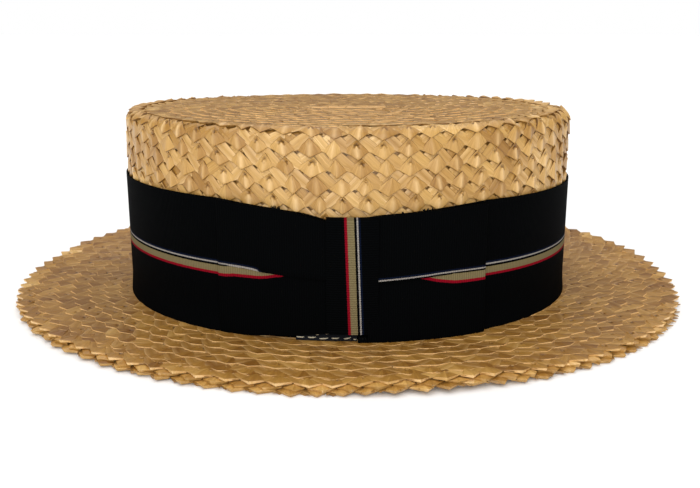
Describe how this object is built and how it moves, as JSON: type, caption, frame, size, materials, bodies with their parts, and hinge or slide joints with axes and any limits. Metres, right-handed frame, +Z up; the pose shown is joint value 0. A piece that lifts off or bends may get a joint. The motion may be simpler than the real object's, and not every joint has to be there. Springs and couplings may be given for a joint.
{
  "type": "straw boater hat",
  "caption": "Straw boater hat with a flat oval crown and brim sewn from sawtooth straw plait, a striped black grosgrain band and a flat bow, open below for the head.",
  "frame": {"origin": "under the middle of the crown, on the surface that the brim rests on", "axes": "+Z up through the crown, X along the hat's length, the bow on the -Y side"},
  "size_m": [0.309, 0.281, 0.084],
  "materials": {
    "varnished_straw": "plaited wheat straw, bleached gold and varnished to a low gloss",
    "black_grosgrain": "ribbed black grosgrain ribbon with a woven white, tan and red stripe",
    "grey_tape": "dark grey tape with pale running stitches"
  },
  "bodies": {
    "root": {"crown": "varnished_straw", "brim": "varnished_straw", "brim_edge": "varnished_straw", "ribbon_band": "black_grosgrain", "bow_left_wing": "black_grosgrain", "bow_right_wing": "black_grosgrain", "bow_knot": "black_grosgrain", "edge_strip": "grey_tape", "band_end": "black_grosgrain"}
  },
  "joints": []
}
